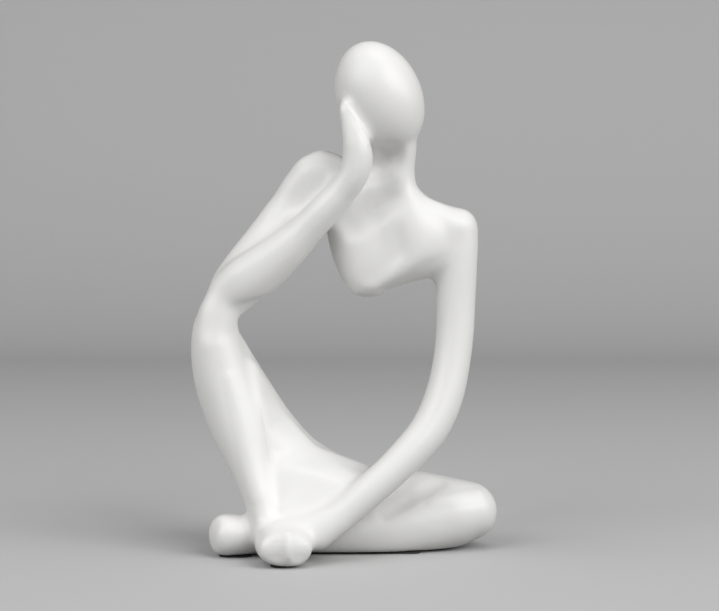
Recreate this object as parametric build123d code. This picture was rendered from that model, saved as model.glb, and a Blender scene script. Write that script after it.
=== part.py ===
from build123d import *
import os

os.makedirs("parts", exist_ok=True)

# A seated figure, 26 cm tall, resting its head on one hand: six solid castings bonded over
# steel pins and bent wire, on felt pads. The origin is on the table under the middle of
# the figure, x runs to the viewer's right, y away from the viewer, z up.

# Size of the whole figure. Places on it are shares of these three, in this order.
figure_width = 156.0
figure_depth = 84.0
figure_height = 260.0

# Head, an egg that leans towards the hand holding it
head_width = 42.8
head_length = 58.4
head_lean = 23.0
head_share = (0.1155, 0.120, 0.886)

# Fullest breadth, seen from the front, and fullest depth, front to back, of each limb.
# A limb that lies along the table has its breadth upright.
chest_breadth = 68.0
chest_depth = 27.0
shoulder_breadth = 22.5
shoulder_depth = 22.0
upper_arm_breadth = 21.5
upper_arm_depth = 20.0
forearm_breadth = 24.0
forearm_depth = 20.0
left_arm_breadth = 21.0
left_arm_depth = 20.5
elbow_breadth = 17.5
elbow_depth = 17.0
shin_breadth = 30.0
shin_depth = 26.0
thigh_breadth = 42.0
thigh_depth = 36.0
lap_breadth = 34.0
lap_depth = 22.0
folded_shin_breadth = 26.0
folded_shin_depth = 24.0
foot_breadth = 28.0
foot_height = 19.0

# How far each limb's rounded end stands out past its last section
ankle_dome = 6.0
toe_dome = 5.5
knee_dome = 9.0
folded_knee_dome = 15.0
side_foot_dome = 8.0
fingertip_dome = 8.0
shoulder_dome = 11.0
chest_tip_dome = 4.0

# Pins of steel rod across the bonded faces, and bent wire along the thin limbs
pin_diameter = 4.0
neck_pin_length = 42.0
hip_pin_length = 24.0
hip_pin_spacing = 16.0
small_pin_diameter = 2.5
cheek_pin_length = 15.0
hand_pin_length = 15.0
ankle_pin_length = 15.0
leg_wire_diameter = 4.0
arm_wire_diameter = 3.0
wire_bend_radius = 9.0
glue_gap = 0.05

# Felt under the figure, which lifts its flat base off the table
pad_thickness = 1.0
foot_pad_length = 19.0
foot_pad_width = 8.0
side_foot_pad_length = 16.0
side_foot_pad_width = 10.0
shin_pad_length = 60.0
shin_pad_width = 10.0
seat_pad_length = 36.0
seat_pad_width = 16.0
foot_pad_turn = 86.0

# Where the elbow meets the knee, and the way the limbs run through that joint
elbow_share = (-0.404, 0.120, 0.475)
elbow_along = Vector(-0.30, 0, 1).normalized()

# Rows of the tables below where a limb is bonded across: the raised thigh to the folded one,
# and each arm to its shoulder
hip_row = 4
left_arm_row = 3
right_arm_row = 5

# Middles of the pins that are not on a row of a table, and of the pads
neck_pin_share = (0.157, 0.150, 0.790)
cheek_pin_share = (0.049, -0.025, 0.835)
hand_pin_share = (-0.128, -0.235, 0.051)
ankle_pin_share = (-0.225, -0.035, 0.031)
front_foot_pad_share = (-0.200, -0.300)
side_foot_pad_share = (-0.350, -0.045)
shin_pad_share = (0.060, 0.070)
seat_pad_share = (0.200, 0.285)

# Outlines round a limb, from the middle of its front: x is the share of its half breadth,
# y of its half depth, with positive y towards the viewer
ROUND_SHARES = [
    (0.000, 1.000), (-0.707, 0.707), (-1.000, 0.000), (-0.707, -0.707),
    (0.000, -1.000), (0.707, -0.707), (1.000, 0.000), (0.707, 0.707),
]
SLAB_SHARES = [
    (-0.10, 1.02), (-0.75, 0.80), (-1.00, 0.05), (-0.80, -0.78), (-0.10, -1.00),
    (0.76, -0.92), (1.00, -0.45), (0.97, 0.45), (0.72, 0.94),
]
RIDGED_SHARES = [
    (-0.05, 1.04), (-0.78, 0.60), (-1.00, -0.05), (-0.70, -0.72),
    (0.00, -1.00), (0.70, -0.72), (1.00, 0.00), (0.70, 0.66),
]
# The same round outline begun behind, for limbs whose front is buried in another limb
ROUND_BEHIND_SHARES = ROUND_SHARES[4:] + ROUND_SHARES[:4]

# How a rounded end closes: distance along the end and what is left of the radius there
DOME_SHARES = [
    (0.35, 0.937), (0.62, 0.785), (0.82, 0.572), (0.94, 0.341), (0.985, 0.173), (0.998, 0.050),
]

# Limbs are lofted through sections this far apart
ring_step = 4.0

SIDE_AXIS = Vector(1, 0, 0)
VIEW_AXIS = Vector(0, 1, 0)
UP_AXIS = Vector(0, 0, 1)

# The lap slopes down from the raised thigh towards the viewer
LAP_FACING = Vector(0, -0.54, 0.84)

# Limbs from end to end. Each row is a place, then shares of the limb's breadth and depth.
SHIN_SHARES = [
    (*elbow_share, elbow_breadth / shin_breadth, elbow_depth / shin_depth),
    (-0.416, 0.108, 0.444, 0.76, 0.84),
    (-0.415, 0.096, 0.405, 0.86, 0.98),
    (-0.399, 0.084, 0.353, 0.96, 1.00),
    (-0.369, 0.060, 0.297, 1.00, 0.97),
    (-0.336, 0.025, 0.240, 0.95, 0.90),
    (-0.301, -0.023, 0.178, 0.75, 0.78),
    (-0.275, -0.070, 0.129, 0.60, 0.70),
    (-0.255, -0.106, 0.089, 0.54, 0.66),
    (-0.235, -0.150, 0.050, 0.56, 0.66),
]
FOOT_SHARES = [
    (-0.228, -0.060, 0.045, 0.60, 0.90),
    (-0.212, -0.190, 0.043, 0.80, 0.98),
    (-0.196, -0.320, 0.039, 0.98, 1.02),
    (-0.187, -0.430, 0.036, 0.96, 0.98),
]
THIGH_SHARES = [
    (-0.400, 0.180, 0.403, 0.54, 0.68),
    (-0.332, 0.215, 0.309, 0.70, 0.75),
    (-0.258, 0.245, 0.219, 0.86, 0.86),
    (-0.164, 0.272, 0.144, 1.00, 0.95),
    (-0.014, 0.287, 0.093, 1.00, 1.00),
    (0.135, 0.287, 0.071, 1.00, 1.00),
    (0.275, 0.278, 0.068, 0.96, 0.95),
    (0.340, 0.258, 0.071, 0.76, 0.78),
    (0.385, 0.235, 0.076, 0.50, 0.52),
]
FOLDED_SHIN_SHARES = [
    (0.407, 0.225, 0.073, 1.17, 1.36),
    (0.345, 0.190, 0.066, 1.29, 1.42),
    (0.255, 0.135, 0.052, 1.14, 1.18),
    (0.117, 0.080, 0.037, 0.95, 0.95),
    (-0.078, 0.060, 0.035, 0.85, 0.90),
    (-0.230, 0.030, 0.039, 0.76, 0.86),
    (-0.320, -0.030, 0.041, 0.80, 0.96),
    (-0.384, -0.060, 0.041, 0.84, 0.94),
]
LAP_SHARES = [
    (-0.231, 0.000, 0.100, 0.70, 0.75),
    (-0.173, 0.012, 0.097, 0.92, 0.92),
    (-0.103, 0.029, 0.092, 1.00, 1.00),
    (-0.040, 0.045, 0.089, 0.90, 0.90),
]
FOREARM_SHARES = [
    (*elbow_share, elbow_breadth / forearm_breadth, elbow_depth / forearm_depth),
    (-0.375, 0.096, 0.502, 0.92, 0.98),
    (-0.322, 0.072, 0.527, 1.06, 1.08),
    (-0.260, 0.049, 0.554, 1.02, 1.08),
    (-0.190, 0.025, 0.589, 0.88, 1.00),
    (-0.131, 0.013, 0.623, 0.76, 0.95),
    (-0.067, -0.011, 0.664, 0.69, 0.90),
    (-0.009, -0.023, 0.702, 0.64, 0.85),
    (0.029, -0.047, 0.732, 0.64, 0.80),
    (0.044, -0.059, 0.763, 0.65, 0.75),
    (0.041, -0.070, 0.791, 0.60, 0.62),
    (0.028, -0.070, 0.819, 0.49, 0.46),
    (0.012, -0.065, 0.846, 0.34, 0.36),
]
UPPER_ARM_SHARES = [
    (-0.404, 0.130, 0.455, 0.50, 0.52),
    (-0.375, 0.168, 0.507, 0.98, 1.00),
    (-0.331, 0.203, 0.550, 1.02, 1.04),
    (-0.272, 0.227, 0.597, 1.00, 1.02),
    (-0.213, 0.239, 0.644, 0.98, 1.00),
    (-0.164, 0.239, 0.685, 0.98, 1.00),
    (-0.128, 0.227, 0.715, 1.02, 1.04),
    (-0.100, 0.215, 0.735, 1.04, 1.06),
]
RIGHT_SHOULDER_SHARES = [
    (-0.125, 0.217, 0.728, 0.55, 0.60),
    (-0.075, 0.214, 0.743, 0.93, 0.90),
    (-0.025, 0.208, 0.730, 1.00, 1.00),
    (0.045, 0.198, 0.703, 1.02, 1.00),
    (0.120, 0.191, 0.677, 1.00, 1.00),
]
LEFT_ARM_SHARES = [
    (0.372, 0.191, 0.630, 0.98, 1.04),
    (0.371, 0.188, 0.600, 1.00, 1.05),
    (0.368, 0.180, 0.566, 1.00, 1.03),
    (0.365, 0.168, 0.492, 0.96, 0.98),
    (0.361, 0.144, 0.426, 0.93, 0.94),
    (0.347, 0.108, 0.362, 0.92, 0.93),
    (0.323, 0.060, 0.304, 0.94, 0.93),
    (0.281, 0.001, 0.250, 0.93, 0.92),
    (0.223, -0.059, 0.209, 0.88, 0.90),
    (0.148, -0.118, 0.166, 0.83, 0.87),
    (0.071, -0.166, 0.127, 0.80, 0.84),
    (-0.005, -0.201, 0.089, 0.78, 0.82),
    (-0.081, -0.238, 0.064, 0.72, 0.78),
    (-0.154, -0.262, 0.059, 0.66, 0.70),
    (-0.205, -0.264, 0.058, 0.56, 0.62),
    (-0.238, -0.250, 0.057, 0.46, 0.52),
]
LEFT_SHOULDER_SHARES = [
    (0.180, 0.180, 0.655, 0.90, 0.95),
    (0.270, 0.188, 0.645, 0.92, 0.98),
    (0.330, 0.190, 0.639, 0.90, 0.94),
    (0.385, 0.191, 0.628, 0.60, 0.60),
]
CHEST_SHARES = [
    (0.078, 0.154, 0.512, 0.27, 0.58),
    (0.103, 0.160, 0.531, 0.48, 0.80),
    (0.140, 0.165, 0.555, 0.73, 0.92),
    (0.168, 0.170, 0.580, 0.93, 0.98),
    (0.170, 0.175, 0.609, 0.99, 1.00),
    (0.162, 0.180, 0.637, 0.99, 0.98),
    (0.150, 0.185, 0.662, 0.92, 0.92),
    (0.145, 0.190, 0.682, 0.74, 0.86),
    (0.140, 0.188, 0.701, 0.53, 0.80),
    (0.146, 0.180, 0.726, 0.385, 0.76),
    (0.145, 0.168, 0.755, 0.385, 0.76),
    (0.153, 0.150, 0.795, 0.38, 0.78),
    (0.158, 0.130, 0.835, 0.31, 0.78),
]


def place(x_share, y_share, z_share):
    """A point given in shares of the figure's width, depth and height."""
    return Vector(x_share * figure_width, y_share * figure_depth, z_share * figure_height)


def row_place(row):
    """The place a row of a limb's table stands for."""
    return place(*row[:3])


def ring(centre, along, size, outline, facing):
    """One closed section, square to the limb's line."""
    across = along.cross(facing).normalized()
    plane = Plane(origin=centre, x_dir=across, z_dir=along)
    points = [(x * size[0] / 2, y * size[1] / 2) for x, y in outline]
    return make_face(plane * Spline(*points, periodic=True))


def blend(before, start, end, after, t):
    """A smooth value between start and end, and its slope, from the values either side."""
    rise, fall = (end - before) / 2, (after - start) / 2
    value = (
        start * (2 * t**3 - 3 * t**2 + 1) + rise * (t**3 - 2 * t**2 + t)
        + end * (3 * t**2 - 2 * t**3) + fall * (t**3 - t**2)
    )
    slope = (
        start * (6 * t**2 - 6 * t) + rise * (3 * t**2 - 4 * t + 1)
        + end * (6 * t - 6 * t**2) + fall * (3 * t**2 - 2 * t)
    )
    return value, slope


def dome(centre, along, size, length, outline, facing):
    """The shrinking sections that round off a limb's end."""
    return [
        ring(centre + along * (length * far), along, (size[0] * left, size[1] * left), outline, facing)
        for far, left in DOME_SHARES
    ]


def limb(stations, breadth, depth, outline=ROUND_SHARES, facing=VIEW_AXIS,
         start_along=None, every_along=None, start_dome=0, end_dome=0, bonded_row=None):
    """Lofts a limb through its stations, in two lengths if a row of it is a bonded face."""
    centres = [row_place(row) for row in stations]
    sizes = [Vector(row[3] * breadth, row[4] * depth, 0) for row in stations]
    last = len(stations) - 1
    rings = []
    for i in range(last):
        if i == bonded_row:
            bonded_ring = len(rings)
        near = (max(i - 1, 0), i, i + 1, min(i + 2, last))
        steps = max(1, round((centres[i + 1] - centres[i]).length / ring_step))
        for step in range(steps + (i == last - 1)):
            centre, along = blend(*[centres[k] for k in near], step / steps)
            size, _ = blend(*[sizes[k] for k in near], step / steps)
            rings.append((centre, every_along or along.normalized(), (size.X, size.Y)))
    if start_along:
        rings[0] = (rings[0][0], start_along, rings[0][2])
    faces = [ring(*r, outline, facing) for r in rings]
    if start_dome:
        opening = dome(*rings[0], -start_dome, outline, facing)[::-1]
    else:
        opening = []
    if end_dome:
        faces = faces + dome(*rings[-1], end_dome, outline, facing)
    if bonded_row is None:
        return loft(opening + faces)
    return loft(opening + faces[:bonded_ring + 1]), loft(faces[bonded_ring:])


def rod(middle, along, diameter, length):
    """A straight pin."""
    return Plane(origin=middle, z_dir=along) * Cylinder(diameter / 2, length)


def wire(points, diameter):
    """A wire bent along the points."""
    path = FilletPolyline(*points, radius=wire_bend_radius)
    return sweep(Plane(path @ 0, z_dir=path % 0) * Circle(diameter / 2), path=path)


def pad(middle_share, length, width, turn=0):
    """A felt pad with round ends, from the table up to the casting."""
    outline = Location(place(*middle_share, 0)) * Rotation(0, 0, turn) * SlotOverall(length, width)
    return extrude(outline, pad_thickness)


# The limbs
shin = limb(SHIN_SHARES, shin_breadth, shin_depth, RIDGED_SHARES,
            start_along=-elbow_along, end_dome=ankle_dome)
front_foot = limb(FOOT_SHARES, foot_breadth, foot_height, facing=UP_AXIS, end_dome=toe_dome)
raised_thigh, folded_thigh = limb(THIGH_SHARES, thigh_breadth, thigh_depth, ROUND_BEHIND_SHARES,
                                  start_dome=knee_dome, bonded_row=hip_row)
folded_shin = limb(FOLDED_SHIN_SHARES, folded_shin_breadth, folded_shin_depth,
                   start_dome=folded_knee_dome, end_dome=side_foot_dome)
lap = limb(LAP_SHARES, lap_breadth, lap_depth, facing=LAP_FACING, every_along=SIDE_AXIS)
forearm = limb(FOREARM_SHARES, forearm_breadth, forearm_depth,
               start_along=elbow_along, end_dome=fingertip_dome)
upper_arm, upper_arm_top = limb(UPPER_ARM_SHARES, upper_arm_breadth, upper_arm_depth, ROUND_BEHIND_SHARES,
                                start_along=elbow_along, end_dome=shoulder_dome, bonded_row=right_arm_row)
right_shoulder = limb(RIGHT_SHOULDER_SHARES, shoulder_breadth, shoulder_depth, ROUND_BEHIND_SHARES)
left_arm_top, left_arm = limb(LEFT_ARM_SHARES, left_arm_breadth, left_arm_depth, start_dome=shoulder_dome,
                              end_dome=fingertip_dome, bonded_row=left_arm_row)
left_shoulder = limb(LEFT_SHOULDER_SHARES, shoulder_breadth, shoulder_depth)
chest = limb(CHEST_SHARES, chest_breadth, chest_depth, SLAB_SHARES,
             every_along=UP_AXIS, start_dome=chest_tip_dome)

# The head is two domes, back to back along its lean
head_place = place(*head_share)
head_along = Vector(0, 0, 1).rotate(Axis.Y, -head_lean)
head_ring = (head_place, head_along, (head_width, head_width))
head = loft([
    *dome(*head_ring, -head_length / 2, ROUND_BEHIND_SHARES, VIEW_AXIS)[::-1],
    ring(*head_ring, ROUND_BEHIND_SHARES, VIEW_AXIS),
    *dome(*head_ring, head_length / 2, ROUND_BEHIND_SHARES, VIEW_AXIS),
])

# Pins across the bonded faces: middle, direction, length and diameter
neck_place, cheek_place = place(*neck_pin_share), place(*cheek_pin_share)
hip_place = row_place(THIGH_SHARES[hip_row])
hip_along = (row_place(THIGH_SHARES[hip_row + 1]) - row_place(THIGH_SHARES[hip_row - 1])).normalized()
hip_offset = hip_along.cross(VIEW_AXIS).normalized() * (hip_pin_spacing / 2)
PINS = {
    "neck_pin": [(neck_place, head_place - neck_place, neck_pin_length, pin_diameter)],
    "hip_pins": [
        (hip_place + offset, hip_along, hip_pin_length, pin_diameter) for offset in (hip_offset, -hip_offset)
    ],
    "cheek_pin": [(cheek_place, head_place - cheek_place, cheek_pin_length, small_pin_diameter)],
    "hand_pin": [(place(*hand_pin_share), SIDE_AXIS, hand_pin_length, small_pin_diameter)],
    "ankle_pin": [(place(*ankle_pin_share), VIEW_AXIS, ankle_pin_length, small_pin_diameter)],
}

# Wires bent along the limbs, through rows of their tables
WIRES = {
    "shin_wire": ([*SHIN_SHARES[3::2], FOOT_SHARES[2]], leg_wire_diameter),
    "forearm_wire": (
        [SHIN_SHARES[2], FOREARM_SHARES[0], *FOREARM_SHARES[2:9:3], FOREARM_SHARES[10]], arm_wire_diameter,
    ),
    "upper_arm_wire": (
        [UPPER_ARM_SHARES[2], RIGHT_SHOULDER_SHARES[1], RIGHT_SHOULDER_SHARES[3]], arm_wire_diameter,
    ),
    "left_arm_wire": (
        [LEFT_SHOULDER_SHARES[1], LEFT_SHOULDER_SHARES[3], *LEFT_ARM_SHARES[3:12:2]], arm_wire_diameter,
    ),
}


def steelwork(name, gap=0):
    """A pin or wire, or the hole for it when it is given a gap for the glue."""
    if name in PINS:
        return Compound([
            rod(middle, along, diameter + 2 * gap, length) for middle, along, length, diameter in PINS[name]
        ])
    rows, diameter = WIRES[name]
    return wire([row_place(row) for row in rows], diameter + 2 * gap)


# The castings. Where two meet, the one formed first keeps its shape. The arm is cut level with
# the top of the knee.
table_plane = Plane.XY.offset(pad_thickness)
raised_leg = split(shin + front_foot + raised_thigh + lap - folded_shin, table_plane, keep=Keep.TOP)
folded_leg = split(folded_thigh + folded_shin, table_plane, keep=Keep.TOP)
torso = chest + left_shoulder + right_shoulder + left_arm_top + upper_arm_top - head
elbow_plane = Plane(origin=place(*elbow_share), z_dir=elbow_along).offset(glue_gap)
right_arm = split(upper_arm + forearm - head - torso, elbow_plane, keep=Keep.TOP)
left_arm = left_arm - raised_leg - folded_leg

# Each hole is bored through every casting that its pin or wire joins
BORED = {
    "raised_leg": (raised_leg, ["shin_wire", "forearm_wire", "hip_pins", "hand_pin", "ankle_pin"]),
    "folded_leg": (folded_leg, ["hip_pins", "ankle_pin"]),
    "torso": (torso, ["neck_pin", "upper_arm_wire", "left_arm_wire"]),
    "head": (head, ["neck_pin", "cheek_pin"]),
    "right_arm": (right_arm, ["forearm_wire", "upper_arm_wire", "cheek_pin"]),
    "left_arm": (left_arm, ["left_arm_wire", "hand_pin"]),
}
parts = {name: steelwork(name) for name in (*PINS, *WIRES)}
for name, (casting, holes) in BORED.items():
    for hole in holes:
        casting = casting - steelwork(hole, glue_gap)
    parts[name] = casting

# Felt pads under the four places where the flat base comes down to the table
parts["front_foot_pad"] = pad(front_foot_pad_share, foot_pad_length, foot_pad_width, foot_pad_turn)
parts["side_foot_pad"] = pad(side_foot_pad_share, side_foot_pad_length, side_foot_pad_width)
parts["folded_shin_pad"] = pad(shin_pad_share, shin_pad_length, shin_pad_width)
parts["seat_pad"] = pad(seat_pad_share, seat_pad_length, seat_pad_width)

for name, shape in parts.items():
    export_step(shape, f"parts/{name}.step")
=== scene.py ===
import math

import bmesh
import bpy
from bpy.props import FloatProperty, FloatVectorProperty, PointerProperty
from mathutils import Matrix, Vector
from mathutils.bvhtree import BVHTree
from mathutils.kdtree import KDTree


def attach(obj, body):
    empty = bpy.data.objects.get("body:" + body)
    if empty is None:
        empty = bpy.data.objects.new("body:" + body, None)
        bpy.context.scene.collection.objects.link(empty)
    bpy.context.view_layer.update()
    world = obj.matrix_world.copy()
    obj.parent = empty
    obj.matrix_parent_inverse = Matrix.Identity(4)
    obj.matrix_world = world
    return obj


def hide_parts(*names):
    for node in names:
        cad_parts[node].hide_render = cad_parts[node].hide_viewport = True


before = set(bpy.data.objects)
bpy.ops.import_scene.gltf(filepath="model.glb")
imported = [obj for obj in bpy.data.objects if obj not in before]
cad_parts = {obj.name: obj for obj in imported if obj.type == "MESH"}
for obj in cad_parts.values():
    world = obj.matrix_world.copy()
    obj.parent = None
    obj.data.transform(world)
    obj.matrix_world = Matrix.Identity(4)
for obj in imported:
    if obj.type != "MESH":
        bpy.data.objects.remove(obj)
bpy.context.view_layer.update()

bl_info = {
    "name": "Thinker Statue",
    "version": (1, 0, 0),
    "blender": (4, 5, 0),
    "location": "View3D > Sidebar > Statue",
    "description": "Builds a white cast figurine that rests its head on one hand",
    "category": "Object",
}

MM = 0.001
CASTINGS = ("raised_leg", "folded_leg", "torso", "head", "right_arm", "left_arm")
STEEL = (
    "neck_pin", "hip_pins", "cheek_pin", "hand_pin", "ankle_pin",
    "shin_wire", "forearm_wire", "upper_arm_wire", "left_arm_wire",
)
FELT = ("front_foot_pad", "side_foot_pad", "folded_shin_pad", "seat_pad")

# Lumps of filler, in millimetres: each is stretched over balls, given by their middles and radii
FILLER = {
    "right_shoulder": (
        (-11.3, 18.5, 194.6, 10), (-17, 19, 191, 10), (-5.8, 18.5, 191.4, 10), (-24, 19.5, 182, 10),
    ),
    "elbow": ((-60, 7.2, 131.5, 8.4), (-65.2, 6.6, 121.5, 8.6), (-65.5, 6.5, 110, 10.5)),
    "elbow_corner": ((-47.6, 8, 131.6, 6), (-54.2, 8, 128, 6), (-58.6, 7.5, 122.6, 6)),
    "thigh_high": ((-46.8, 8, 96, 2.5), (-43, 2, 77, 3), (-46.4, 13, 93, 3), (-37.5, 13, 77.3, 3)),
    "thigh": (
        (-43, 2, 77, 3), (-39.6, 0.7, 62, 3), (-37.5, 13, 77.3, 3), (-30.5, 13, 67, 3), (-29, 12, 61, 3),
    ),
    "thigh_low": (
        (-39.6, 0.7, 62, 3), (-37.6, -1.8, 46, 3), (-30.5, 13, 67, 3), (-23.8, 13, 58.2, 3),
        (-16.6, 13, 52, 3), (-22, 7, 44, 4),
    ),
    "lap": (
        (-37.6, -1.8, 46, 3), (-36, -5.5, 35, 3), (-34, -10, 24, 4), (-22, -12.5, 18.6, 6),
        (-5, -11.5, 22.6, 6), (8, -8.5, 31.6, 6), (-16.6, 13, 51.6, 3), (-7, 13, 46.9, 3),
        (2.5, 13, 43.3, 3), (12.5, 13, 41, 3),
    ),
    "chest": (
        (10, 10.7, 138, 8), (38, 9, 147.5, 7), (53, 13.5, 151, 8.5), (56, 14, 164, 9.5),
        (44, 12, 172, 7), (24, 9, 172, 7),
    ),
    "chest_face": (
        (0.8, 4.2, 164, 1.5), (1.8, 4.2, 153, 1.5), (4.2, 4.2, 144, 1.5), (8, 4.2, 137.2, 1.5),
        (11.5, 4.2, 134.8, 1.5), (16, 4.2, 135.2, 1.5), (36, 4.2, 143.6, 1.5), (42, 6, 152, 2),
        (38, 7, 170, 3), (20, 6, 172, 2),
    ),
    "chest_rim": (
        (12.5, 10.5, 136.1, 6.3), (22.5, 10.5, 139.9, 6.3), (31, 11, 144, 6.2), (38, 12, 146.8, 6.2),
    ),
    "folded_knee": ((38, 22, 22, 17), (58, 19, 20, 15.5), (66, 18.5, 20.5, 12.2)),
    "left_hand": (
        (-2, -18, 21.5, 7.8), (-13, -21, 13.5, 7.8), (-24, -23, 14, 6), (-33, -23.5, 13, 5),
        (-39.5, -22.5, 11.5, 4),
    ),
    "fingertip": ((2.6, -4.2, 219, 4.5), (-0.9, -1.5, 226.8, 1.6)),
}
# The next four give a line of points and how far from it the work reaches, all in millimetres.
# Places pushed over while the filler is soft, and the way they go
PUSHED = {
    "toes": (((-29, -34, 9), (-29, -42, 9)), 20, (3.5, 0, 0)),
    "chin": (((17, 3, 195), (22, 3, 200)), 11, (0, 8, 0)),
    "breast": (((23, 2, 180), (5, 2, 166)), 10, (0, 3.5, 0)),
}
# Creases that are filled round, and the radius of the round
ROUNDED = {
    "chest": (((58, 15, 160), (48, 15, 166), (36, 15, 170)), 22, 9),
    "collar": (((38, 15, 186), (56, 15, 172)), 20, 10),
    "armpit": (((43, 17, 146), (46, 17, 140)), 13, 7),
    "arm": (((-62, 5, 130), (-45, 8, 146), (-30, 8, 164)), 16, 9),
    "shoulder": (((-12, 18, 190), (-32, 18, 178)), 20, 10),
    "elbow": (((-73, 8, 110), (-71, 8, 134)), 14, 7),
    "elbow_front": (((-68, -2, 112), (-64, -2, 130)), 10, 7),
    "elbow_back": (((-69, 17, 124), (-58, 21, 121)), 13, 8),
    "lap": (((-28, -8, 30), (-20, 6, 44), (2, 6, 42), (12, 4, 40)), 16, 10),
    "folded_knee": (((45, 12, 30), (64, 14, 26)), 24, 12),
}
# Places sanded smooth once the filler is hard, and the number of passes
SANDED = {
    "shoulder": (((-24, 10, 180), (-12, 9, 192)), 14, 30),
    "elbow": (((-62, -2, 132), (-64, -3, 118)), 12, 30),
    "thigh": (((-46, 4, 92), (-40, 4, 74), (-33, 4, 60), (-26, 6, 52)), 9, 30),
    "lap": (((-34, -2, 46), (-22, 5, 46), (-8, 8, 45), (8, 8, 42)), 13, 60),
    "ankle": (((-42, -27, 16), (-31, -31, 20), (-19, -27, 20)), 7, 20),
    "collar": (((22, 4, 176), (30, 4, 172)), 12, 40),
    "neck": (((17, 8, 192), (30, 8, 190)), 10, 40),
    "arm_end": (((10, 0, 44), (18, -4, 47)), 9, 20),
    "throat": (((17, 6, 180), (27, 6, 186)), 11, 30),
    "knee_back": (((46, 40, 22), (58, 36, 22), (68, 31, 20)), 14, 40),
    "knee_back_low": (((50, 33, 8), (66, 28, 9)), 10, 30),
}
# Ridges raised and, where the height is negative, creases cut in the hard filler
CARVED = {
    "shin_crease": (
        ((-44.9, -1, 91), (-41.3, -2, 77), (-38.2, -3, 62), (-36, -5, 46), (-34.6, -8, 34)), 1.8, -0.5,
    ),
    "shin_ridge": (((-56, -8, 90), (-52, -9, 70), (-48, -11, 50), (-44, -14, 32)), 6, 0.5),
    "cheek": (((11.5, -5, 208), (14.5, -1, 203), (16.2, 2, 197), (15.2, 2, 192)), 2.4, -1.8),
    "hand_ridge": (((0.7, -6, 225.5), (5.5, -7.5, 219), (9, -9, 212), (12.5, -9.5, 206)), 1.8, 0.5),
    "toe_ridge": (((-26.8, -38, 17), (-26.6, -42, 9), (-26.6, -42, 5)), 4, 0.7),
    "side_foot_facet": (((-66, -12, 16), (-68, -10, 8)), 7, -0.9),
    "knee_groove": (((20, 0, 21), (34, 6, 27), (48, 12, 33)), 6, -0.9),
    "knee_ridge": (((46, 2, 27), (58, 3, 29), (69, 8, 30)), 6, 0.7),
    "toe_left": (((-33, -40, 13), (-33, -41, 7)), 7, -1.2),
    "toe_right": (((-20.5, -39, 13), (-20.5, -39, 7)), 7, -1.2),
    "toe_notch": (((-26.4, -40, 0), (-26.4, -42, 4.5)), 2.0, -2.0),
}

# How the skin is worked
WELD_GAP = 0.001 * MM  # corners closer than this are one
BALL_DETAIL = 3  # subdivisions of a filler ball
BRUSH_STEPS = 3  # places in one reach along a line
HALFWAY = 0.5  # how far one smoothing pass goes
ROLL_STEPS = 3  # steps out, and as many back, of the rolling ball
ROLL_PASSES = 3  # smoothing passes after each of these steps
SAMPLES = 4  # vertices from which a new one takes its radius
FILLED_SHARE = 1.5  # a round this much larger than the fillet is smoothed more
FILLED_PASSES = 12  # smoothing passes over these rounds
SKIN_PASSES = 14  # smoothing passes over the whole skin
SANDED_CORE = 0.2  # share of the reach that the last sanding pass covers

# How the skin is parted
BORDER_PASSES = 12  # rounds of votes that straighten the joints
PINCH_PASSES = 4  # passes over the vertices in which a casting would touch itself
CAP_DEPTH = 1.5 * MM  # how far the hidden caps lie below the skin
CAP_PASSES = 3  # smoothing passes over the caps' rims
KEPT_NORMAL = "kept_normal"  # layer with the normals of the whole skin

# How the felt pads are cut
FLAT_ANGLE = math.radians(1)  # faces that differ by less are one
RIM_ANGLE = math.radians(40)  # edges sharper than this are rounded
RIM_SEGMENTS = 3

# Floor and backdrop, in metres
FLOOR_REACH = 3.0  # to both sides and towards the camera
BEND_START = 1.2  # behind the figure
BEND_RADIUS = 0.6
BEND_STEPS = 16
WALL_HEIGHT = 2.5
WALL_DEPTH = 0.01  # at most
# Square lamps: place, height aimed at and breadth in metres, and power in watts
LAMPS = {
    "left_softbox": ((-1.44, -1.60, 1.60), 0.13, 1.6, 22.0),
    "right_softbox": ((1.44, -1.60, 1.60), 0.13, 1.6, 32.0),
    "left_fill": ((-2.0, -0.7, 1.0), 0.13, 1.0, 6.5),
    "right_fill": ((2.0, -0.7, 1.0), 0.13, 1.0, 11.0),
    "top_softbox": ((0.2, -0.3, 2.4), 0.1, 1.0, 4.5),
    "left_top": ((-1.1, 0.0, 2.1), 0.2, 0.4, 1.8),
    "right_top": ((0.74, -0.38, 2.3), 0.2, 0.4, 1.8),
}
FILM_WIDTH = 36.0  # in millimetres, as Blender asks
NEAREST_SEEN = 0.05  # in metres


# Sizes and colours

class CastingSettings(bpy.types.PropertyGroup):
    grain: FloatProperty(
        name="Grain", description="Size of the skin's faces", default=0.8 * MM,
        min=0.4 * MM, unit="LENGTH")
    fillet: FloatProperty(
        name="Fillet", description="Radius of the filler in every crease", default=1.2 * MM,
        min=0, unit="LENGTH")


class FeltSettings(bpy.types.PropertyGroup):
    rim: FloatProperty(
        name="Rim", description="How far the pads' edges are rounded", default=0.25 * MM,
        min=0, unit="LENGTH")


class PaintSettings(bpy.types.PropertyGroup):
    paint: FloatVectorProperty(
        name="Paint", description="Satin white of the castings", default=(0.86, 0.86, 0.85),
        subtype="COLOR", min=0, max=1)
    shade: FloatVectorProperty(
        name="Thin paint", description="Slightly warmer white where the paint lies thin",
        default=(0.84, 0.83, 0.81), subtype="COLOR", min=0, max=1)
    steel: FloatVectorProperty(
        name="Steel", description="Pins and wires", default=(0.55, 0.55, 0.56),
        subtype="COLOR", min=0, max=1)
    felt: FloatVectorProperty(
        name="Felt", description="Pads under the figure", default=(0.03, 0.03, 0.03),
        subtype="COLOR", min=0, max=1)


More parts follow.
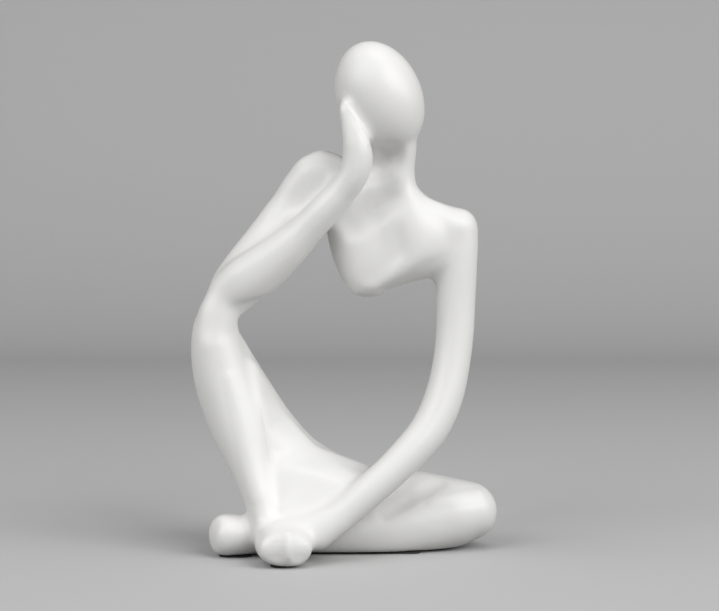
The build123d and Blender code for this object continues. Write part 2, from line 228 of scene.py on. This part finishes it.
class StageSettings(bpy.types.PropertyGroup):
    floor: FloatVectorProperty(
        name="Floor", description="Floor and backdrop", default=(0.56, 0.56, 0.56),
        subtype="COLOR", min=0, max=1)
    bounce: FloatVectorProperty(
        name="Bounce", description="Colour of the light that the floor throws back",
        default=(0.25, 0.25, 0.25), subtype="COLOR", min=0, max=1)
    room: FloatProperty(
        name="Room", description="Strength of the even white light from all round", default=0.24, min=0)
    camera_distance: FloatProperty(
        name="Camera distance", description="How far in front of the figure the camera stands",
        default=890 * MM, unit="LENGTH")
    camera_height: FloatProperty(
        name="Camera height", description="Height of the camera over the table",
        default=171.3 * MM, unit="LENGTH")
    camera_side: FloatProperty(
        name="Camera side", description="How far the camera stands to the right",
        default=7.84 * MM, unit="LENGTH")
    camera_pitch: FloatProperty(
        name="Camera pitch", description="How far the camera looks down",
        default=math.radians(2.93), subtype="ANGLE")
    lens: FloatProperty(
        name="Lens", description="Focal length on a 36 mm wide frame", default=89.07,
        unit="CAMERA")


# Meshes

def new_object(name, data):
    """An object at the origin that holds a mesh, a lamp's light or a camera's lens."""
    made = bpy.data.objects.new(name, data)
    bpy.context.collection.objects.link(made)
    return made


def finished(bm, name):
    """Ends the work on a mesh and hands it over."""
    mesh = bpy.data.meshes.new(name)
    bm.to_mesh(mesh)
    bm.free()
    return mesh


def modified(name, mesh, *modifiers):
    """The mesh with a stack of modifiers applied."""
    work = new_object(name, mesh)
    for kind, settings in modifiers:
        modifier = work.modifiers.new(kind, kind)
        for key, value in settings.items():
            setattr(modifier, key, value)
    depsgraph = bpy.context.evaluated_depsgraph_get()
    result = bpy.data.meshes.new_from_object(work.evaluated_get(depsgraph))
    bpy.data.objects.remove(work)
    return result


def remesh(grain):
    """A modifier that fuses whatever overlaps into one even skin."""
    return "REMESH", {"mode": "VOXEL", "voxel_size": grain, "use_smooth_shade": True}


def relax(passes):
    """A modifier that evens the skin out."""
    return "SMOOTH", {"factor": HALFWAY, "iterations": passes}


def smooth(bm, verts):
    """Moves vertices halfway to the middle of their neighbours."""
    bmesh.ops.smooth_vert(
        bm, verts=verts, factor=HALFWAY, use_axis_x=True, use_axis_y=True, use_axis_z=True)


def add_solid(bm, node):
    """Adds a node's solid with its loose triangles merged."""
    start = len(bm.verts)
    bm.from_mesh(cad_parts[node].data)
    bm.verts.ensure_lookup_table()
    bmesh.ops.remove_doubles(bm, verts=bm.verts[start:], dist=WELD_GAP)


def add_lump(bm, balls):
    """Adds a lump of filler, stretched over balls."""
    lump = bmesh.new()
    for *middle, radius in balls:
        bmesh.ops.create_icosphere(
            lump, subdivisions=BALL_DETAIL, radius=radius * MM,
            matrix=Matrix.Translation(Vector(middle) * MM))
    hull = bmesh.ops.convex_hull(lump, input=lump.verts[:])
    bmesh.ops.delete(lump, geom=hull["geom_interior"] + hull["geom_unused"], context="VERTS")
    bmesh.ops.recalc_face_normals(lump, faces=lump.faces)
    bm.from_mesh(finished(lump, "lump"))


def rounded_fall(share):
    """Falls smoothly from 1 at the middle of a brush to 0 at its rim."""
    return (1 - min(share, 1) ** 2) ** 2


def groups(items, neighbours):
    """Splits items into groups that hang together."""
    seen, found = set(), []
    for seed in items:
        if seed in seen:
            continue
        seen.add(seed)
        group, reach = [], [seed]
        while reach:
            item = reach.pop()
            group.append(item)
            for other in neighbours(item):
                if other not in seen:
                    seen.add(other)
                    reach.append(other)
        found.append(group)
    return found


class Skin:
    """The figure's one skin while it is filled and sanded. Points and reaches are in millimetres."""

    def __init__(self, mesh, outside_only=True):
        self.bm = bmesh.new()
        self.bm.from_mesh(mesh)
        if outside_only:
            self.drop_inner_shells()
        self.index()

    def drop_inner_shells(self):
        """Drops every shell but the largest: what is left of the bores round the pins."""
        shells = groups(self.bm.verts, lambda vert: [edge.other_vert(vert) for edge in vert.link_edges])
        shells.sort(key=len)
        for shell in shells[:-1]:
            bmesh.ops.delete(self.bm, geom=shell, context="VERTS")

    def index(self):
        """Numbers the vertices and keeps a search tree of their places."""
        self.bm.verts.ensure_lookup_table()
        self.bm.verts.index_update()
        self.bm.normal_update()
        self.tree = KDTree(len(self.bm.verts))
        for vert in self.bm.verts:
            self.tree.insert(vert.co, vert.index)
        self.tree.balance()

    def near(self, points, reach):
        """Vertices within reach of a line of points, with their distance as a share of it."""
        places = [Vector(point) * MM for point in points]
        radius = reach * MM
        found = {}
        for a, b in zip(places, places[1:]):
            steps = max(1, math.ceil((b - a).length / (radius / BRUSH_STEPS)))
            for step in range(steps + 1):
                for _, i, gap in self.tree.find_range(a.lerp(b, step / steps), radius):
                    found[i] = min(found.get(i, 1.0), gap / radius)
        return [(self.bm.verts[i], share) for i, share in found.items()]

    def push(self, points, reach, way):
        """Moves the skin along a line over, most in its middle."""
        way = Vector(way) * MM
        for vert, share in self.near(points, reach):
            vert.co += way * rounded_fall(share)

    def sand(self, points, reach, passes):
        """Smooths along a line, most in its middle."""
        found = sorted(self.near(points, reach), key=lambda pair: pair[1])
        verts = [vert for vert, _ in found]
        for step in range(passes):
            rim = 1 - (1 - SANDED_CORE) * step / passes
            count = sum(share <= rim for _, share in found)
            smooth(self.bm, verts[:count])
        self.bm.normal_update()

    def carve(self, points, reach, height):
        """Raises or, with a negative height, cuts the skin along a line."""
        height = height * MM
        for vert, share in self.near(points, reach):
            vert.co += vert.normal * (height * rounded_fall(share))
        self.bm.normal_update()

    def radii(self, fillet):
        """The radius of the round at each vertex."""
        radii = [fillet] * len(self.bm.verts)
        for points, reach, radius in ROUNDED.values():
            for vert, share in self.near(points, reach):
                local = fillet + (radius * MM - fillet) * rounded_fall(share)
                radii[vert.index] = max(radii[vert.index], local)
        return radii


def rolled(mesh, fillet, grain):
    """Fills the creases as if a ball were rolled along them, larger where ROUNDED says so."""
    skin = Skin(mesh)
    for place in PUSHED.values():
        skin.push(*place)
    skin.index()
    radii = skin.radii(fillet)
    for way in (1,) * ROLL_STEPS + (-1,) * ROLL_STEPS:
        for vert, radius in zip(skin.bm.verts, radii):
            vert.co += vert.normal * (way * radius / ROLL_STEPS)
        skin.index()
        before, known = skin.tree, radii
        grown = finished(skin.bm, "grown")
        remade = modified("rolled", grown, relax(ROLL_PASSES), remesh(grain))
        skin = Skin(remade, outside_only=way < 0)
        radii = [
            sum(known[i] for _, i, _ in before.find_n(vert.co, SAMPLES)) / SAMPLES
            for vert in skin.bm.verts]
    filled = [vert for vert, radius in zip(skin.bm.verts, radii) if radius > FILLED_SHARE * fillet]
    for step in range(FILLED_PASSES):
        smooth(skin.bm, filled)
    return finished(skin.bm, "rolled")


# Parting the skin into its castings

def nearest_castings(skin):
    """For each face of the skin, the number of the casting that it lies nearest."""
    trees = []
    for name in CASTINGS:
        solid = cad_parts[name].data
        trees.append(BVHTree.FromPolygons(
            [vert.co for vert in solid.vertices], [face.vertices[:] for face in solid.polygons]))
    owner = []
    for face in skin.faces:
        gaps = []
        for tree in trees:
            *_, gap = tree.find_nearest(face.calc_center_median())
            gaps.append(gap)
        owner.append(gaps.index(min(gaps)))
    return owner


def straighten_borders(owner, around):
    """Gives each face at a border to the casting that holds most of the faces round it."""
    for step in range(BORDER_PASSES):
        border = [i for i, others in enumerate(around) if any(owner[j] != owner[i] for j in others)]
        winners = {}
        for i in border:
            votes = [owner[i]] + [owner[j] for j in around[i]]
            votes += [owner[k] for j in around[i] for k in around[j]]
            winners[i] = max(set(votes), key=lambda vote: (votes.count(vote), -vote))
        for i, winner in winners.items():
            owner[i] = winner


def absorb_islands(owner, around):
    """Gives every patch of a casting but its largest to the casting around it."""
    patches = {}
    for patch in groups(range(len(owner)), lambda i: [j for j in around[i] if owner[j] == owner[i]]):
        patches.setdefault(owner[patch[0]], []).append(patch)
    for found in patches.values():
        found.sort(key=len)
        for patch in found[:-1]:
            outer = next(owner[j] for i in patch for j in around[i] if owner[j] != owner[i])
            for i in patch:
                owner[i] = outer


def part_pinches(skin, owner):
    """Gives the faces round a vertex to one casting where two patches of it meet in that vertex alone."""
    for step in range(PINCH_PASSES):
        for vert in skin.verts:
            owners = [owner[face.index] for face in vert.link_faces]
            castings = sorted(set(owners))
            if len(castings) == 1:
                continue
            borders = sum(len({owner[face.index] for face in edge.link_faces}) > 1
                          for edge in vert.link_edges)
            # Without a pinch, as many borders as castings meet in the vertex
            if borders > len(castings):
                most = max(castings, key=owners.count)
                for face in vert.link_faces:
                    owner[face.index] = most


def close_joints(part):
    """Closes a casting where it was parted, with caps that are sunk so that none shows."""
    layer = part.verts.layers.float_vector[KEPT_NORMAL]
    rims = [edge for edge in part.edges if edge.is_boundary]
    sunk = [item for item in bmesh.ops.extrude_edge_only(part, edges=rims)["geom"]
            if isinstance(item, bmesh.types.BMVert)]
    for vert in sunk:
        vert.co -= vert[layer] * CAP_DEPTH
    for step in range(CAP_PASSES):
        moved = []
        for vert in sunk:
            others = [edge.other_vert(vert).co for edge in vert.link_edges if edge.is_boundary]
            if len(others) == 2:
                moved.append((vert, sum(others, Vector()) / 2))
        for vert, middle in moved:
            vert.co = (vert.co + middle) / 2
    rims = [edge for edge in part.edges if edge.is_boundary]
    caps = bmesh.ops.holes_fill(part, edges=rims, sides=0)["faces"]
    bmesh.ops.triangulate(part, faces=caps, ngon_method="BEAUTY")


def cut_out(skin, owner, number):
    """One casting's share of the skin, which keeps the shading of the whole across its joints."""
    part = skin.copy()
    part.faces.ensure_lookup_table()
    others = [face for face in part.faces if owner[face.index] != number]
    bmesh.ops.delete(part, geom=others, context="FACES")
    close_joints(part)
    layer = part.verts.layers.float_vector[KEPT_NORMAL]
    normals = [vert[layer].copy() for vert in part.verts]
    part.verts.layers.float_vector.remove(layer)
    mesh = finished(part, CASTINGS[number] + "_skin")
    mesh.shade_smooth()
    mesh.normals_split_custom_set_from_vertices(normals)
    return mesh


def parted(mesh):
    """Cuts the figure where its castings meet, and yields each casting closed."""
    skin = bmesh.new()
    skin.from_mesh(mesh)
    skin.faces.ensure_lookup_table()
    skin.normal_update()
    layer = skin.verts.layers.float_vector.new(KEPT_NORMAL)
    for vert in skin.verts:
        vert[layer] = vert.normal
    around = [[other.index for edge in face.edges for other in edge.link_faces if other is not face]
              for face in skin.faces]
    owner = nearest_castings(skin)
    straighten_borders(owner, around)
    absorb_islands(owner, around)
    part_pinches(skin, owner)
    for number, name in enumerate(CASTINGS):
        yield name, cut_out(skin, owner, number)
    skin.free()


# Materials

MIX_SHARE, MIX_LOW, MIX_HIGH, MIX_COLOUR = 0, 6, 7, 2  # sockets of a Mix node set to colours


class Value:
    """A shader socket that can be used in sums."""

    def __init__(self, finish, socket):
        self.finish = finish
        self.socket = socket

    def worked_out(self, operation, first, second):
        """Adds a Math node."""
        return self.finish.node("ShaderNodeMath", {"operation": operation}, {0: first, 1: second})

    def __add__(self, other):
        return self.worked_out("ADD", self, other)

    def __radd__(self, other):
        return self.worked_out("ADD", other, self)

    def __mul__(self, other):
        return self.worked_out("MULTIPLY", self, other)

    def __rmul__(self, other):
        return self.worked_out("MULTIPLY", other, self)


class Finish:
    """A material under construction."""

    def __init__(self, name):
        self.material = bpy.data.materials.new(name)
        self.material.use_nodes = True
        self.tree = self.material.node_tree
        self.shader = self.tree.nodes["Principled BSDF"]

    def node(self, kind, settings, inputs, output=0):
        """Adds a node and returns one of its outputs."""
        made = self.tree.nodes.new(kind)
        for key, value in settings.items():
            setattr(made, key, value)
        for key, value in inputs.items():
            self.plug(made.inputs[key], value)
        return Value(self, made.outputs[output])

    def plug(self, socket, value):
        """Links a value to a socket, or types a number or colour into it."""
        if isinstance(value, Value):
            self.tree.links.new(value.socket, socket)
        else:
            socket.default_value = value

    def set(self, **sockets):
        """Fills the shader's sockets, named with underscores for spaces, and ends the work."""
        for key, value in sockets.items():
            self.plug(self.shader.inputs[key.replace("_", " ")], value)
        return self.material

    def noise(self, scale, detail=2.0, roughness=0.5):
        """Noise that stays on the piece."""
        place = self.node("ShaderNodeTexCoord", {}, {}, "Object")
        return self.node("ShaderNodeTexNoise", {}, {
            "Vector": place, "Scale": scale, "Detail": detail, "Roughness": roughness})

    def colours(self, share, low, high):
        """A colour between two others."""
        inputs = {MIX_SHARE: share, MIX_LOW: (*low, 1), MIX_HIGH: (*high, 1)}
        return self.node("ShaderNodeMix", {"data_type": "RGBA"}, inputs, MIX_COLOUR)

    def bump(self, height, strength, distance):
        """A relief in the surface, as deep as the distance."""
        return self.node(
            "ShaderNodeBump", {}, {"Strength": strength, "Distance": distance, "Height": height})


def satin_paint(settings):
    """White satin paint, faintly clouded, with a fine orange peel."""
    finish = Finish("satin_white_paint")
    cloud = finish.noise(scale=18.0, detail=3.0)
    peel = finish.noise(scale=700.0)
    return finish.set(
        Base_Color=finish.colours(cloud, settings.shade, settings.paint),
        Roughness=0.34 + 0.08 * finish.noise(scale=60.0),
        Normal=finish.bump(peel, strength=0.12, distance=0.05 * MM),
        Specular_IOR_Level=0.5,
    )


def drawn_steel(settings):
    """Bare steel with the fine grain of the drawing die."""
    finish = Finish("drawn_steel")
    streak = finish.noise(scale=900.0, detail=3.0)
    return finish.set(
        Base_Color=(*settings.steel, 1),
        Metallic=1.0,
        Roughness=0.28 + 0.2 * streak,
        Normal=finish.bump(streak, strength=0.2, distance=0.02 * MM),
    )


def black_felt(settings):
    """Black felt, darker between its fibres."""
    finish = Finish("black_felt")
    fibre = finish.noise(scale=2500.0, detail=4.0, roughness=0.7)
    deep, top = ([share * c for c in settings.felt] for share in (0.5, 1.6))
    return finish.set(
        Base_Color=finish.colours(fibre, deep, top),
        Roughness=0.95,
        Normal=finish.bump(fibre, strength=0.8, distance=0.2 * MM),
    )


def plain_floor(settings):
    """Pale to the camera and in reflections, darker in the light it throws back on the figure."""
    finish = Finish("plain_floor")
    rays = [finish.node("ShaderNodeLightPath", {}, {}, name)
            for name in ("Is Camera Ray", "Is Glossy Ray", "Is Transmission Ray")]
    seen = finish.node(
        "ShaderNodeMath", {"operation": "ADD", "use_clamp": True}, {0: rays[0] + rays[1], 1: rays[2]})
    return finish.set(Base_Color=finish.colours(seen, settings.bounce, settings.floor), Roughness=0.8)


# Operators

class STATUE_OT_castings(bpy.types.Operator):
    """Casts, fills and sands the figure, then parts it into its castings"""
    bl_idname = "statue.castings"
    bl_label = "Castings"

    def execute(self, context):
        sizes = context.scene.statue_casting
        paint = satin_paint(context.scene.statue_paint)
        raw = bmesh.new()
        # The pins and wires are fused in, so that they fill their bores
        for node in CASTINGS + STEEL:
            add_solid(raw, node)
        for balls in FILLER.values():
            add_lump(raw, balls)
        base = modified("base", finished(raw, "raw"), remesh(sizes.grain))
        filled = rolled(base, sizes.fillet, sizes.grain)
        skin = Skin(modified("sanded", filled, relax(SKIN_PASSES)))
        for place in SANDED.values():
            skin.sand(*place)
        for place in CARVED.values():
            skin.carve(*place)
        for name, mesh in parted(finished(skin.bm, "figure")):
            mesh.materials.append(paint)
            piece = new_object(name + "_skin", mesh)
            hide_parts(name)
            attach(piece, "root")
        return {"FINISHED"}


class STATUE_OT_steel(bpy.types.Operator):
    """Finishes the pins and wires hidden inside"""
    bl_idname = "statue.steel"
    bl_label = "Steel"

    def execute(self, context):
        steel = drawn_steel(context.scene.statue_paint)
        for name in STEEL:
            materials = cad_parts[name].data.materials
            materials.clear()
            materials.append(steel)
        return {"FINISHED"}


class STATUE_OT_felt(bpy.types.Operator):
    """Makes the felt pads under the figure"""
    bl_idname = "statue.felt"
    bl_label = "Felt pads"

    def execute(self, context):
        felt = black_felt(context.scene.statue_paint)
        for name in FELT:
            pad = bmesh.new()
            add_solid(pad, name)
            bmesh.ops.dissolve_limit(pad, angle_limit=FLAT_ANGLE, verts=pad.verts, edges=pad.edges)
            rims = [edge for edge in pad.edges if edge.calc_face_angle(0) > RIM_ANGLE]
            bmesh.ops.bevel(
                pad, geom=rims, offset=context.scene.statue_felt.rim, offset_type="OFFSET",
                segments=RIM_SEGMENTS, profile=0.5, affect="EDGES", material=-1)
            bmesh.ops.triangulate(pad, faces=pad.faces)
            mesh = finished(pad, name + "_cut")
            mesh.materials.append(felt)
            piece = new_object(name + "_cut", mesh)
            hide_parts(name)
            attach(piece, "root")
        return {"FINISHED"}


class STATUE_OT_stage(bpy.types.Operator):
    """Sets up the pale floor, the soft lights and the camera"""
    bl_idname = "statue.stage"
    bl_label = "Stage"

    def execute(self, context):
        settings = context.scene.statue_stage
        self.floor(settings)
        for name, (place, height, breadth, power) in LAMPS.items():
            self.lamp(name, Vector(place), Vector((0, 0, height)), breadth, power)
        world = bpy.data.worlds.new("studio")
        world.use_nodes = True
        background = world.node_tree.nodes["Background"].inputs
        background["Color"].default_value = (1, 1, 1, 1)
        background["Strength"].default_value = settings.room
        context.scene.world = world
        context.scene.camera = self.camera(settings)
        context.scene.view_settings.view_transform = "Standard"
        return {"FINISHED"}

    def floor(self, settings):
        """A floor that bends up into the backdrop."""
        bm = bmesh.new()
        bmesh.ops.create_grid(bm, x_segments=1, y_segments=1, size=FLOOR_REACH)
        back = [edge for edge in bm.edges if all(vert.co.y > 0 for vert in edge.verts)]
        for vert in back[0].verts:
            vert.co.y = BEND_START
        bmesh.ops.spin(
            bm, geom=back, cent=(0, BEND_START, BEND_RADIUS), axis=(1, 0, 0), angle=math.pi / 2,
            steps=BEND_STEPS)
        # The bend's last step goes up as a whole, so that the wall has a front and a back
        wall_front = BEND_START + BEND_RADIUS - WALL_DEPTH
        top = [edge for edge in bm.edges if all(vert.co.y > wall_front for vert in edge.verts)]
        raised = [item for item in bmesh.ops.extrude_edge_only(bm, edges=top)["geom"]
                  if isinstance(item, bmesh.types.BMVert)]
        bmesh.ops.translate(bm, verts=raised, vec=(0, 0, WALL_HEIGHT))
        bmesh.ops.recalc_face_normals(bm, faces=bm.faces)
        mesh = finished(bm, "floor")
        mesh.shade_smooth()
        mesh.materials.append(plain_floor(settings))
        new_object("floor", mesh)

    def lamp(self, name, place, target, breadth, power):
        """A soft square lamp that faces its target."""
        light = bpy.data.lights.new(name, "AREA")
        light.size = breadth
        light.energy = power
        lamp = new_object(name, light)
        lamp.location = place
        lamp.rotation_euler = (target - place).to_track_quat("-Z", "Y").to_euler()

    def camera(self, settings):
        """A camera that stands where the photo's own stood, as fitted to it."""
        lens = bpy.data.cameras.new("camera")
        lens.sensor_fit = "HORIZONTAL"
        lens.sensor_width = FILM_WIDTH
        lens.lens = settings.lens
        lens.clip_start = NEAREST_SEEN
        camera = new_object("camera", lens)
        camera.location = (settings.camera_side, -settings.camera_distance, settings.camera_height)
        camera.rotation_euler = (math.pi / 2 - settings.camera_pitch, 0, 0)
        return camera


class STATUE_PT_panel(bpy.types.Panel):
    """Lists the steps that build the statue"""
    bl_idname = "STATUE_PT_panel"
    bl_label = "Thinker Statue"
    bl_space_type = "VIEW_3D"
    bl_region_type = "UI"
    bl_category = "Statue"

    def draw(self, context):
        for group in SETTINGS:
            settings = getattr(context.scene, group)
            for name in settings.bl_rna.properties.keys():
                if name not in {"rna_type", "name"}:
                    self.layout.prop(settings, name)
        for step in OPERATORS:
            self.layout.operator(step.bl_idname)


SETTINGS = {
    "statue_casting": CastingSettings,
    "statue_felt": FeltSettings,
    "statue_paint": PaintSettings,
    "statue_stage": StageSettings,
}
OPERATORS = (STATUE_OT_castings, STATUE_OT_steel, STATUE_OT_felt, STATUE_OT_stage)
CLASSES = (*SETTINGS.values(), *OPERATORS, STATUE_PT_panel)


def register():
    for made in CLASSES:
        bpy.utils.register_class(made)
    for name, kind in SETTINGS.items():
        setattr(bpy.types.Scene, name, PointerProperty(type=kind))


def unregister():
    for name in SETTINGS:
        delattr(bpy.types.Scene, name)
    for made in reversed(CLASSES):
        bpy.utils.unregister_class(made)


def main():
    register()
    bpy.ops.statue.castings()
    bpy.ops.statue.steel()
    bpy.ops.statue.felt()
    bpy.ops.statue.stage()


if __name__ == "__main__":
    main()
